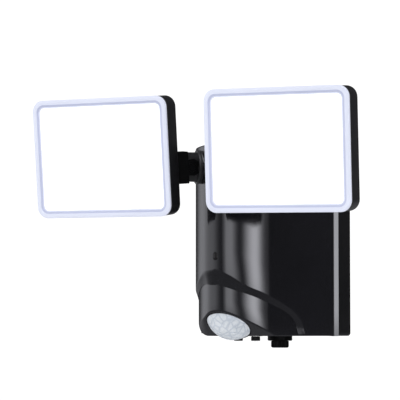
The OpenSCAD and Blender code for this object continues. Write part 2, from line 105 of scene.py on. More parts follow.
# ---- camera ----
def make_camera():
    """Stands at the viewer's right of the light and looks up a little, framed like the photograph."""
    azimuth, elevation = math.radians(32), math.radians(-3.35)
    distance = 2.028
    aim = Vector((-0.0308, -0.1045, 0.0382))
    back = Vector(
        (
            math.sin(azimuth) * math.cos(elevation),
            -math.cos(azimuth) * math.cos(elevation),
            math.sin(elevation),
        )
    )
    data = bpy.data.cameras.new("camera")
    data.sensor_width = 36
    data.lens = 197.1
    camera = bpy.data.objects.new("camera", data)
    bpy.context.scene.collection.objects.link(camera)
    camera.location = aim + back * distance
    camera.rotation_mode = "QUATERNION"
    camera.rotation_quaternion = (-back).to_track_quat("-Z", "Y")
    bpy.context.scene.camera = camera


# ---- materials ----
def node(tree, kind, **values):
    """A new node whose named inputs are set to the values."""
    made = tree.nodes.new(kind)
    for key, value in values.items():
        made.inputs[key].default_value = value
    return made


def ramp_between(tree, factor, low, high, start=0.3, end=0.7):
    """A colour that goes from low to high while the factor goes from start to end."""
    ramp = tree.nodes.new("ShaderNodeValToRGB")
    ramp.color_ramp.elements[0].position = start
    ramp.color_ramp.elements[1].position = end
    ramp.color_ramp.elements[0].color = (*low, 1)
    ramp.color_ramp.elements[1].color = (*high, 1)
    tree.links.new(factor, ramp.inputs["Fac"])
    return ramp.outputs["Color"]


def noise(tree, scale, detail=4, stretch=(1, 1, 1)):
    """Noise in the piece's own coordinates, in metres, so that it's the same from every side."""
    coord = tree.nodes.new("ShaderNodeTexCoord")
    mapping = tree.nodes.new("ShaderNodeMapping")
    mapping.inputs["Scale"].default_value = stretch
    made = node(tree, "ShaderNodeTexNoise", Scale=scale, Detail=detail)
    tree.links.new(coord.outputs["Object"], mapping.inputs["Vector"])
    tree.links.new(mapping.outputs["Vector"], made.inputs["Vector"])
    return made.outputs["Fac"]


def surface(
    name, low, high, rough, metallic=0, patch=30, grain=900, depth=0.02, stretch=(1, 1, 1), **sockets
):
    """Colour drifts between low and high over patches, and roughness between its two values.

    Fine grain bumps of the given depth lie over it.
    """
    made = bpy.data.materials.new(name)
    made.use_nodes = True
    tree = made.node_tree
    shader = tree.nodes["Principled BSDF"]
    shader.inputs["Metallic"].default_value = metallic
    for key, value in sockets.items():
        shader.inputs[key.replace("_", " ")].default_value = value
    patches = noise(tree, patch, 5, stretch)
    tree.links.new(ramp_between(tree, patches, low, high), shader.inputs["Base Color"])
    spread = node(tree, "ShaderNodeMapRange")
    spread.inputs["To Min"].default_value = rough[0]
    spread.inputs["To Max"].default_value = rough[1]
    tree.links.new(noise(tree, patch * 2.3, 3, stretch), spread.inputs["Value"])
    tree.links.new(spread.outputs["Result"], shader.inputs["Roughness"])
    bump = node(tree, "ShaderNodeBump", Strength=depth, Distance=0.0002)
    tree.links.new(noise(tree, grain, 3, stretch), bump.inputs["Height"])
    tree.links.new(bump.outputs["Normal"], shader.inputs["Normal"])
    return made


def lit_surface(name, low, high, strength):
    """A milky panel that glows, a little weaker where the diffuser is thicker."""
    made = surface(name, low, high, (0.3, 0.4), patch=60)
    tree = made.node_tree
    shader = tree.nodes["Principled BSDF"]
    shader.inputs["Emission Strength"].default_value = strength
    glow = ramp_between(tree, noise(tree, 25), (0.95, 0.97, 1), (1, 1, 1))
    tree.links.new(glow, shader.inputs["Emission Color"])
    return made


M = {
    "gloss_black": surface("gloss_black_plastic", (0.004, 0.004, 0.0055), (0.006, 0.006, 0.008),
                           (0.07, 0.10), patch=18, grain=2600, depth=0.04),
    "satin_black": surface("satin_black_plastic", (0.003, 0.003, 0.0038), (0.0055, 0.0055, 0.0063),
                           (0.34, 0.42), patch=22, grain=2200, depth=0.12, Specular_IOR_Level=0.15),
    "link_black": surface("link_black_nylon", (0.0012, 0.0012, 0.0014), (0.0025, 0.0025, 0.0028),
                          (0.4, 0.5), patch=40, grain=2200, depth=0.12, Specular_IOR_Level=0.08),
    "head_black": surface("head_black_paint", (0.005, 0.005, 0.0065), (0.009, 0.009, 0.0105),
                          (0.28, 0.36), patch=25, grain=2400, depth=0.08, Specular_IOR_Level=0.4),
    "knuckle_grey": surface("knuckle_grey_plastic", (0.024, 0.024, 0.026), (0.036, 0.036, 0.038),
                            (0.34, 0.44), patch=60, grain=2000, depth=0.12, Specular_IOR_Level=0.4),
    "dial_plastic": surface("dial_black_nylon", (0.005, 0.005, 0.006), (0.009, 0.009, 0.01),
                            (0.4, 0.5), patch=80, grain=3000, depth=0.15, Specular_IOR_Level=0.2),
    "rubber": surface("black_rubber", (0.005, 0.005, 0.005), (0.01, 0.01, 0.01), (0.6, 0.75),
                      patch=90, depth=0.25, Specular_IOR_Level=0.3),
    "bezel_white": surface("bezel_white_plastic", (0.63, 0.66, 0.78), (0.66, 0.69, 0.81), (0.3, 0.38),
                           patch=14, grain=2200, depth=0.05),
    # A darker copy of the bezel plastic: painted shade for the groove inside the bezel.
    "bezel_painted_shade": surface("bezel_painted_shadow", (0.42, 0.45, 0.61), (0.45, 0.48, 0.64), (0.4, 0.5),
                          patch=14, grain=2200, depth=0.05),
    "lit_panel": lit_surface("lit_diffuser", (0.9, 0.92, 0.96), (0.95, 0.96, 1), 1.15),
    "lens_white": surface("milky_lens", (0.55, 0.585, 0.63), (0.62, 0.65, 0.69), (0.24, 0.32),
                          patch=70, grain=1800, depth=0.04),
    "light_guide": surface("clear_light_guide", (0.8, 0.88, 0.9), (0.86, 0.93, 0.95), (0.05, 0.1),
                           patch=20),
    "window_tint": surface("smoked_window", (0.004, 0.0035, 0.004), (0.008, 0.007, 0.0075), (0.12, 0.2),
                           patch=120, Specular_IOR_Level=0.2),
    "steel": surface("zinc_steel", (0.55, 0.56, 0.58), (0.70, 0.70, 0.71), (0.26, 0.42), metallic=1,
                     patch=120, grain=1500, depth=0.15),
    "aluminium": surface("rolled_aluminium", (0.68, 0.69, 0.70), (0.78, 0.78, 0.79), (0.3, 0.42), metallic=1,
                         patch=40, stretch=(1, 1, 12)),
    "board_green": surface("board_green", (0.01, 0.09, 0.04), (0.02, 0.16, 0.07), (0.3, 0.45), patch=150),
    "board_white": surface("board_white", (0.80, 0.80, 0.78), (0.88, 0.88, 0.86), (0.4, 0.5), patch=90),
    "led_yellow": surface("led_phosphor", (0.8, 0.62, 0.12), (0.9, 0.75, 0.25), (0.4, 0.5), patch=300),
    "ring_dark": surface("dark_ring", (0.03, 0.03, 0.033), (0.05, 0.05, 0.055), (0.4, 0.5), patch=90),
    "part_blue": surface("blue_thermoset", (0.02, 0.07, 0.25), (0.04, 0.11, 0.34), (0.35, 0.5), patch=150),
    "driver_mixed": surface("driver_parts", (0.30, 0.26, 0.07), (0.55, 0.46, 0.15), (0.3, 0.5), patch=60),
    "sensor_tan": surface("photocell_tan", (0.35, 0.12, 0.04), (0.52, 0.2, 0.08), (0.35, 0.5), patch=400),
    "terminal_grey": surface("terminal_nylon", (0.62, 0.62, 0.58), (0.72, 0.72, 0.68), (0.4, 0.5), patch=90),
}


def add_cell_lines():
    """Fine darker lines in the lens, like the edges of its cells seen through the milky plastic."""
    tree = M["lens_white"].node_tree
    shader = tree.nodes["Principled BSDF"]
    plain = shader.inputs["Base Color"].links[0].from_socket
    coord = tree.nodes.new("ShaderNodeTexCoord")
    cells = tree.nodes.new("ShaderNodeTexVoronoi")
    cells.feature = "DISTANCE_TO_EDGE"
    cells.inputs["Scale"].default_value = 150  # cells per metre
    tree.links.new(coord.outputs["Object"], cells.inputs["Vector"])
    lines = ramp_between(tree, cells.outputs["Distance"], (0.76, 0.79, 0.84), (1, 1, 1), 0.01, 0.14)
    mix = tree.nodes.new("ShaderNodeMix")
    mix.data_type = "RGBA"
    mix.blend_type = "MULTIPLY"
    mix.inputs["Factor"].default_value = 1
    tree.links.new(plain, mix.inputs["A"])
    tree.links.new(lines, mix.inputs["B"])
    tree.links.new(mix.outputs["Result"], shader.inputs["Base Color"])


add_cell_lines()


# ---- mesh tools ----
def add_grid(bm, rows, closed=False):
    """Quads between rows of points. Returns the rows of vertices."""
    made = [[bm.verts.new(p) for p in row] for row in rows]
    count = len(made[0])
    for low, high in zip(made, made[1:]):
        for i in range(count if closed else count - 1):
            j = (i + 1) % count
            bm.faces.new((low[i], low[j], high[j], high[i]))
    return made


def add_strip(bm, low, high, closed=False):
    """Quads between two rows of vertices."""
    count = len(low)
    for i in range(count if closed else count - 1):
        j = (i + 1) % count
        bm.faces.new((low[i], low[j], high[j], high[i]))


def add_shell(bm, outer_rows, inner_rows):
    """A thick sheet: two grids over the same columns, joined all round their borders."""
    outer, inner = add_grid(bm, outer_rows), add_grid(bm, inner_rows)
    add_strip(bm, outer[0], inner[0])
    add_strip(bm, outer[-1], inner[-1])
    for column in (0, -1):
        edge = [row[column] for row in outer] + [row[column] for row in reversed(inner)]
        bm.faces.new(edge)


def add_loft(bm, rings, cap_start=True, cap_end=True, joined=False):
    """A skin over closed rings of points, capped at its ends or joined from the last ring to the first."""
    made = add_grid(bm, rings, closed=True)
    if joined:
        add_strip(bm, made[-1], made[0], closed=True)
        return
    if cap_start:
        bm.faces.new(made[0])
    if cap_end:
        bm.faces.new(made[-1])


def add_lathe(bm, profile, matrix, count, joined=False, radius=None):
    """Turns a profile of (radius, height) about Z. radius(r, h, angle) may vary it round the turn."""
    rings = []
    for r, h in profile:
        ring = []
        for i in range(count):
            a = 2 * math.pi * i / count
            rr = radius(r, h, a) if radius else r
            ring.append(matrix @ Vector((rr * math.cos(a), rr * math.sin(a), h)))
        rings.append(ring)
    add_loft(bm, rings, joined=joined)


def fillet(corner_r, corner_h, r, steps=5):
    """Quarter-round points of radius r at a profile's corner, from the side up and in to the end face."""
    points = []
    for i in range(steps + 1):
        a = math.pi / 2 * i / steps
        points.append((corner_r - r + r * math.cos(a), corner_h - r + r * math.sin(a)))
    return points


def rounded_loop(w, h, r, y, steps=8):
    """Rounded rectangle in the XZ plane at depth y."""
    points = []
    for k, (sx, sz) in enumerate(((1, 1), (-1, 1), (-1, -1), (1, -1))):
        for i in range(steps + 1):
            a = math.pi / 2 * (k + i / steps)
            points.append(Vector((sx * (w / 2 - r) + r * math.cos(a), y, sz * (h / 2 - r) + r * math.sin(a))))
    return points


def placed(points, matrix):
    return [matrix @ p for p in points]


def piece(name, bm, body, material, replaces=(), bevel=0.0, sharp=35, segments=3):
    """Makes the mesh a piece in metres that rides a body, with rounded or crisp edges."""
    bmesh.ops.remove_doubles(bm, verts=bm.verts, dist=0.002)
    bmesh.ops.dissolve_degenerate(bm, edges=bm.edges, dist=0.001)
    bmesh.ops.recalc_face_normals(bm, faces=bm.faces)
    bmesh.ops.scale(bm, vec=(MM, MM, MM), verts=bm.verts)
    mesh = bpy.data.meshes.new(name)
    bm.to_mesh(mesh)
    bm.free()
    mesh.materials.append(material)
    mesh.shade_smooth()
    made = bpy.data.objects.new(name, mesh)
    bpy.context.scene.collection.objects.link(made)
    if bevel:
        round_edges(made, bevel, segments)
    else:
        mesh.set_sharp_from_angle(angle=math.radians(sharp))
    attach(made, body)
    if replaces:
        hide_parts(*replaces)


def round_edges(made, width, segments=3):
    bevel = made.modifiers.new("rounded_edges", "BEVEL")
    bevel.width = width * MM
    bevel.segments = segments
    bevel.limit_method = "ANGLE"
    bevel.angle_limit = math.radians(30)
    bevel.harden_normals = True
    bevel.use_clamp_overlap = True


# ---- body outline ----
def bow_arcs():
    """The outline's three arcs: the nose, a slightly crowned facet and the blend into the flank.

    Each is (radius, start angle, end angle, steps, centre). The facet's radius follows from the flank.
    """
    angles = [math.radians(a) for a in (0, 38, 52)] + [math.pi / 2 - FLANK_ANGLE]
    blend_r = 30
    x0, y0 = NOSE_R * math.sin(angles[1]), NOSE_TIP_Y + NOSE_R * (1 - math.cos(angles[1]))
    bx = blend_r * (math.sin(angles[3]) - math.sin(angles[2]))
    by = blend_r * (math.cos(angles[2]) - math.cos(angles[3]))
    fx, fy = math.sin(angles[2]) - math.sin(angles[1]), math.cos(angles[1]) - math.cos(angles[2])
    slope = math.tan(FLANK_ANGLE)
    facet_r = (FLANK_END_X - x0 - bx + slope * (y0 + by - FLANK_Y)) / (fx - slope * fy)
    centres = [(0, NOSE_TIP_Y + NOSE_R)]
    centres.append((x0 - facet_r * math.sin(angles[1]), y0 + facet_r * math.cos(angles[1])))
    x1, y1 = x0 + facet_r * fx, y0 + facet_r * fy
    centres.append((x1 - blend_r * math.sin(angles[2]), y1 + blend_r * math.cos(angles[2])))
    radii, steps = (NOSE_R, facet_r, blend_r), (14, 10, 8)
    return [(radii[i], angles[i], angles[i + 1], steps[i], centres[i]) for i in range(3)]


BOW_ARCS = bow_arcs()


def half_bow(t):
    """Right half of the outline, set in by t, from the nose tip to the back. Columns match for every t."""
    points = []
    for r, start, end, steps, (cx, cy) in BOW_ARCS:
        for i in range(steps + 1):
            if points and i == 0:
                continue
            a = start + (end - start) * i / steps
            points.append((cx + (r - t) * math.sin(a), cy - (r - t) * math.cos(a)))
    x0, y0 = points[-1]
    x1, y1 = FLANK_END_X - t, FLANK_Y
    flank_steps = 44
    for i in range(1, flank_steps + 1):
        points.append((x0 + (x1 - x0) * i / flank_steps, y0 + (y1 - y0) * i / flank_steps))
    chamfer_steps, crown = 3, 0.03
    normal_x, normal_y = 0.68, -0.73
    for i in range(1, chamfer_steps + 1):
        s = i / chamfer_steps
        bulge = crown * 4 * s * (1 - s)
        x, y = x1 + (BODY_W / 2 - t - x1) * s, y1 + (COVER_BACK_Y - y1) * s
        points.append((x + bulge * normal_x, y + bulge * normal_y))
    return points


def bow(t):
    """The whole outline, set in by t, from the left rear edge round the nose to the right one."""
    half = half_bow(t)
    return [(-x, y) for x, y in reversed(half[1:])] + half


# ---- arch in the cover's lower front ----
def left_lift(x, most, foot_x):
    """The arch's left leg stands fuller than its right one, by up to most, and ends at the same foot."""
    if x >= 0:
        return 0
    onset, sharpness = 16, 8
    return most * (1 - math.exp(-((x / onset) ** 2))) * max(0, 1 - (x / foot_x) ** sharpness)


def arch_upper(x):
    """Height of the arch's outer edge above the underside, at x from the middle."""
    crown_h, fullness = 61.2, 0.43
    u = abs(x) / FOOT_X
    dip = 0.075 * math.exp(-(((u - 0.45) / 0.17) ** 2))
    return crown_h * max(0, 1 - (u**1.1 + dip)) ** fullness + left_lift(x, 9, FOOT_X)


def arch_lower(x):
    """Height of the arch's inner edge, where the sensor housing comes out of the cover."""
    crown_h, fullness = 46.8, 0.335
    return crown_h * max(0, 1 - abs(x / FOOT_INNER_X) ** 1.1) ** fullness + left_lift(x, 8, FOOT_INNER_X)


def half_width(curve, z, side):
    """Where an arch curve comes down to height z, on one side of the middle."""
    low, high = 0, FOOT_X
    if curve(0) <= z:
        return 0
    for _ in range(24):
        middle = (low + high) / 2
        low, high = (middle, high) if curve(side * middle) > z else (low, middle)
    return high


def band_sink(x, z, share):
    """How deep the arch's band lies, from 1 at its lower edge to 0 at its upper one.

    It's measured upwards at the crown and sideways at the feet, where the band runs down to the underside.
    """
    if abs(x) > FOOT_X:
        return 0
    side = 1 if x > 0 else -1
    outer, inner = half_width(arch_upper, z, side), half_width(arch_lower, z, side)
    across = min(1, max(0, (outer - abs(x)) / max(0.5, outer - inner)))
    turn_x, turn_w = 38, 10
    sideways = min(1, max(0, (abs(x) - turn_x) / turn_w))
    return (1 - sideways) * (1 - share) + sideways * across


def foot_z(x):
    """Height of the cover's lower edge beside the arch: it rises towards the front, most at the left foot."""
    end_x, rise_w, rise = 68, 13, 1.5
    left_x, left_w, left_rise = -53, 8, 4.5
    even = rise * min(1, max(0, (end_x - abs(x)) / rise_w))
    return even + left_rise * math.exp(-(((x - left_x) / left_w) ** 2))


# ---- front cover ----
def front_cover():
    """Columns follow the outline. Rows run up the arch's sunken band, the wall, the rounded top and back."""
    lip_t, top_r, edge, plain_x = 2.45, 2, 0.35, 69
    outline, inset = bow(0), bow(1)
    columns = range(len(outline))

    def on(t, heights):
        return [Vector((x, y, BOTTOM_Z + z)) for (x, y), z in zip(bow(t), heights)]

    upper = [max(arch_upper(x), foot_z(x)) if abs(x) < plain_x else 0 for x, _ in outline]
    lower = [min(max(arch_lower(x), foot_z(x)), high) for (x, _), high in zip(outline, upper)]
    height = TOP_Z - BOTTOM_Z
    rows = []
    band_steps, wall_steps, round_steps, inner_steps = 6, 5, 6, 4
    for k in range(band_steps):
        share = k / band_steps
        row = []
        for i in columns:
            z = lower[i] + (upper[i] - edge - lower[i]) * share
            t = lip_t * band_sink(outline[i][0], max(0, z), share)
            x, y = (a + (b - a) * t for a, b in zip(outline[i], inset[i]))
            row.append(Vector((x, y, BOTTOM_Z + z)))
        rows.append(row)
    rows.append(on(0.05, [max(0, u - edge) for u in upper]))
    for k in range(wall_steps + 1):
        s = k / wall_steps
        rows.append(on(0, [u + edge + (height - top_r - u - edge) * s for u in upper]))
    for k in range(1, round_steps + 1):
        a = math.pi / 2 * k / round_steps
        rows.append(on(top_r * (1 - math.cos(a)), [height - top_r * (1 - math.sin(a))] * len(columns)))
    rows += back_rows(rows[-1], 3)
    inner = [on(COVER_WALL, lower)]
    for k in range(1, inner_steps + 1):
        s = k / inner_steps
        inner.append(on(COVER_WALL, [a + (height - COVER_WALL - a) * s for a in lower]))
    inner += back_rows(inner[-1], 3)
    stop_at_rear(rows, inner)
    bm = bmesh.new()
    add_shell(bm, rows, inner)
    piece("cover_shell", bm, "body", M["gloss_black"], ["front_cover"])


def back_rows(row, steps):
    """Rows that run from a rim straight back to the cover's rear edge."""

    def moved(p, share):
        return Vector((p.x, p.y + (COVER_BACK_Y - p.y) * share, p.z))

    return [[moved(p, k / steps) for p in row] for k in range(1, steps + 1)]


def stop_at_rear(*grids):
    """Moves the points that lie behind the cover's rear edge onto it."""
    for p in (p for grid in grids for row in grid for p in row):
        p.y = min(p.y, COVER_BACK_Y)


# ---- sensor housing ----
def slant_z(y):
    """Height of the housing's underside at depth y: flat, then rising towards the nose."""
    return max(BOTTOM_Z, LENS_Z + (LENS_Y - y) * math.tan(SLANT))


def underside_rows(start, lift):
    """Rows from a rim along the underside, back to its crease and on to the rear edge."""
    crease_y = LENS_Y + (LENS_Z - BOTTOM_Z) / math.tan(SLANT)
    rows = [start]
    for target, steps in ((crease_y, 8), (COVER_BACK_Y, 3)):
        first = rows[-1]
        for k in range(1, steps + 1):
            row = []
            for p in first:
                y = p.y + (max(p.y, target) - p.y) * k / steps
                row.append(Vector((p.x, y, slant_z(y) + lift)))
            rows.append(row)
    return rows[1:]


def sensor_housing():
    """Columns follow the outline. Rows run down the wall, round its rim and back along the underside."""
    top = BOTTOM_Z + 68
    wall_steps, rim_steps = 4, 8
    wall_t, floor_t, floor_rim = 2.2, 2.4, 3.2
    least_r, more_r, widest_x, width = 1, 9, -50, 22
    outline, inset = bow(HOUSING_INSET), bow(HOUSING_INSET + 1)
    rim_r = [least_r + more_r * math.exp(-(((x - widest_x) / width) ** 4)) for x, _ in outline]

    def rim(turn):
        """The rounded lower edge at a turn between the wall and the underside, widest on the left."""
        row = []
        for (x, y), (x1, y1), r in zip(outline, inset, rim_r):
            t = r * (1 - math.cos(turn))
            px, py = x + (x1 - x) * t, y + (y1 - y) * t
            row.append(Vector((px, py, slant_z(py) + r * (1 - math.sin(turn)))))
        return row

    wall = rim(0)
    rows = [[Vector((p.x, p.y, top)) for p in wall]]
    for k in range(1, wall_steps + 1):
        rows.append([Vector((p.x, p.y, top + (p.z - top) * k / wall_steps)) for p in wall])
    rows += [rim(math.pi / 2 * k / rim_steps) for k in range(1, rim_steps + 1)]
    rows += underside_rows(rows[-1], 0)
    inside = bow(HOUSING_INSET + wall_t)
    inner = [[Vector((x, y, top)) for x, y in inside]]
    inner.append([Vector((x, y, slant_z(y) + floor_rim)) for x, y in inside])
    inner += underside_rows(inner[-1], floor_t)
    stop_at_rear(rows, inner)
    bm = bmesh.new()
    add_shell(bm, rows, inner)
    piece("sensor_shell", bm, "body", M["gloss_black"], ["sensor_housing"], sharp=28)


# ---- sensor lens ----
def lens_matrix():
    """Local +Z points out of the slanted face, down and forward."""
    return (
        Matrix.Translation((0, LENS_Y, LENS_Z))
        @ Matrix.Rotation(-SLANT, 4, "X")
        @ Matrix.Rotation(math.pi, 4, "X")
    )


def sensor_lens():
    """A dome of small cells: rings of segments with a fine groove between them."""
    sphere_r = (LENS_R**2 + LENS_H**2) / (2 * LENS_H)
    rings = ((0.0, 5.0, 1), (5.0, 10.2, 7), (10.2, 15.2, 14), (15.2, 19.4, 21))  # inner r, outer r, cells
    groove_w, groove_d = 0.34, 0.42
    steps_r, steps_a = 60, 168

    def height(r):
        return math.sqrt(max(0, sphere_r**2 - r * r)) - (sphere_r - LENS_H)

    def groove(r, a):
        near = 9.0
        for inner_r, outer_r, count in rings:
            near = min(near, abs(r - outer_r))
            if inner_r < r < outer_r and count > 1:
                share = a * count / (2 * math.pi)
                near = min(near, abs(share - round(share)) * 2 * math.pi * r / count)
        return groove_d * math.exp(-((near / groove_w) ** 2))

    matrix = lens_matrix()
    turns = [2 * math.pi * i / steps_a for i in range(steps_a)]
    skirt_z, plain_rim = -2.2, 0.4
    rows = [[matrix @ Vector((LENS_R * math.cos(a), LENS_R * math.sin(a), skirt_z)) for a in turns]]
    for k in range(steps_r + 1):
        r = LENS_R * math.sin(math.pi / 2 * (1 - k / steps_r))
        row = []
        for a in turns:
            depth = groove(r, a) if r < LENS_R - plain_rim else 0
            row.append(matrix @ Vector((r * math.cos(a), r * math.sin(a), height(r) - depth)))
        rows.append(row)
    bm = bmesh.new()
    add_loft(bm, rows, cap_end=False)
    piece("lens_dome", bm, "body", M["lens_white"], ["sensor_lens"], sharp=60)
    bm = bmesh.new()
    profile = [(LENS_R + 0.05, -1), (LENS_R + 0.05, 0.05), (LENS_R + 0.2, 0.12), (LENS_R + 0.8, 0.12),
               (LENS_R + 1.1, 0.02), (LENS_R + 1.1, -1)]
    add_lathe(bm, profile, matrix, 120, joined=True)
    piece("lens_rim", bm, "body", M["link_black"])


# ---- light window ----
def light_window():
    w, h, centre_z = 4.4, 6.6, BOTTOM_Z + 72.5

    def on_nose(grow, lift):
        """The window's outline, larger by grow, laid round the nose and lifted off it."""
        ring = []
        for p in rounded_loop(w + grow, h + grow, (w + grow) / 2 - 0.1, 0):
            r = NOSE_R + lift
            a = p.x / NOSE_R
            ring.append(Vector((r * math.sin(a), NOSE_TIP_Y + NOSE_R - r * math.cos(a), centre_z + p.z)))
        return ring

    lens = ((0, -0.6), (0, 0.02), (-0.5, 0.16), (-1.6, 0.3), (-3.2, 0.38))
    rim = ((0.1, -0.5), (0.1, 0.06), (0.4, 0.08), (0.6, 0.05), (0.8, -0.5))
    bm = bmesh.new()
    add_loft(bm, [on_nose(grow, lift) for grow, lift in lens])
    piece("window_lens", bm, "body", M["window_tint"], ["light_window"], sharp=60)
    bm = bmesh.new()
    add_loft(bm, [on_nose(grow, lift) for grow, lift in rim], joined=True)
    piece("window_rim", bm, "body", M["link_black"], sharp=60)


# ---- dials and gland, under the housing ----
def dial(name, x):
    """A fluted knob with a pointer across its end face, which looks down."""
    matrix = Matrix.Translation((x, DIAL_Y, BOTTOM_Z - 0.3)) @ Matrix.Rotation(math.pi, 4, "X")
    knob_h = 4.2
    flutes = 20

    def fluted(r, h, a):
        if r < DIAL_R - 0.9 or h > knob_h - 0.3:
            return r
        return r - 0.22 * (0.5 + 0.5 * math.cos(a * flutes)) ** 2

    bm = bmesh.new()
    profile = [(0, 0), (DIAL_R - 0.5, 0), (DIAL_R, 0.5), (DIAL_R, knob_h - 0.6),
               (DIAL_R - 0.15, knob_h - 0.3), (DIAL_R - 0.5, knob_h), (DIAL_R - 1.4, knob_h),
               (DIAL_R - 1.7, knob_h - 0.35), (0, knob_h - 0.35)]
    add_lathe(bm, profile, matrix, 120, radius=fluted)
    body = name + "_body"
    piece(name + "_knob", bm, body, M["dial_plastic"], [name])
    bm = bmesh.new()
    half_w, start, end, edge = 0.5, 0.6, DIAL_R - 0.45, 0.15
    corners = ((-half_w, start), (half_w, start), (half_w, end), (-half_w, end))
    outline = [Vector((*corner, 0)) for corner in corners]
    rings = [[p + Vector((0, 0, z)) for p in outline] for z in (knob_h - 0.8, knob_h)]
    rings.append([Vector((p.x * 0.6, p.y - (edge if p.y > 2 else -edge), knob_h + 0.12)) for p in outline])
    add_loft(bm, [placed(ring, matrix) for ring in rings])
    piece(name + "_pointer", bm, body, M["board_white"])


def dial_scale():
    """Raised ticks moulded round each dial, longer at the ends of its travel."""
    bm = bmesh.new()
    half_w, gap, first_angle, pitch = 0.2, 0.8, -135, 27
    for x in (-DIAL_X, DIAL_X):
        for k in range(11):
            a = math.radians(first_angle + pitch * k)
            length = 1.6 if k in (0, 5, 10) else 0.9
            turn = Matrix.Translation((x, DIAL_Y, BOTTOM_Z)) @ Matrix.Rotation(a, 4, "Z")
            near, far = -(DIAL_R + gap), -(DIAL_R + gap + length)
            corners = ((-half_w, near), (half_w, near), (half_w, far), (-half_w, far))
            low = [Vector((*corner, 0.5)) for corner in corners]
            high = [Vector((p.x * 0.6, p.y, -0.25)) for p in low]
            add_loft(bm, [placed(low, turn), placed(high, turn)])
    piece("dial_ticks", bm, "body", M["gloss_black"])


def gland():
    """The cable gland's flange, ribbed cap and rubber grommet, under the housing."""
    at = Matrix.Translation((GLAND_X, GLAND_Y, BOTTOM_Z)) @ Matrix.Rotation(math.pi, 4, "X")
    bore = 4.2
    bm = bmesh.new()
    profile = [(bore, -6), (8, -6), (8, 0.02), (11.5, 0.02)] + fillet(11.5, 4.5, 1.2)
    profile += [(8.6, 4.5), (8.2, 4.2), (6.9, 4.2), (6.9, 8.6), (bore, 8.6)]
    add_lathe(bm, profile, at, 72, joined=True)
    piece("gland_flange", bm, "body", M["link_black"], ["gland_base"])
    ribs, rib_depth, rib_from_r = 18, 0.75, 7.9

    def ribbed(r, _, a):
        if r < rib_from_r:
            return r
        return r - rib_depth * (0.5 - 0.5 * math.cos(a * ribs)) ** 0.6

    bm = bmesh.new()
    profile = [(7, 4.6), (7.9, 4.6), (8.4, 5.0), (8.4, 9.4), (8.1, 10.2), (7.6, 10.7), (6.6, 11), (5.2, 11),
               (4.8, 10.7), (4.7, 9), (7, 8.6)]
    add_lathe(bm, profile, at, 216, joined=True, radius=ribbed)
    piece("gland_cap", bm, "body", M["link_black"], ["gland_nut"])
    bm = bmesh.new()
    profile = [(3.4, 6.2), (5.5, 6.2), (5.5, 8.9), (4.6, 9.9), (4.1, 10.3), (3.7, 9.9), (3.4, 9)]
    add_lathe(bm, profile, at, 72, joined=True)
    piece("gland_grommet", bm, "body", M["rubber"], ["gland_seal"])


# ---- arm frames ----
def side_matrix(side):
    """Arms are described for the left side, and mirrored for the right one."""
    return Matrix.Scale(-1, 4, (1, 0, 0)) if side == "right" else Matrix()


def arm_matrix(side):
    """Local +X points out along the arm, from the knuckle's middle."""
    return side_matrix(side) @ Matrix.Translation(KNUCKLE) @ Matrix.Rotation(ARM_OUT, 4, "Z")


def link_matrix(side):
    """The arm's frame, swivelled and tilted as it rests in the photograph."""
    swivel, tilt, _ = REST[side]
    return (
        arm_matrix(side)
        @ Matrix.Rotation(math.radians(swivel), 4, "X")
        @ Matrix.Rotation(math.radians(tilt), 4, "Y")
    )


def head_matrix(side):
    """A frame on the head's hinge axis. The face looks along its -Y."""
    turn = math.radians(REST[side][2]) - ARM_OUT
    return link_matrix(side) @ Matrix.Translation(HINGE) @ Matrix.Rotation(turn, 4, "Z")


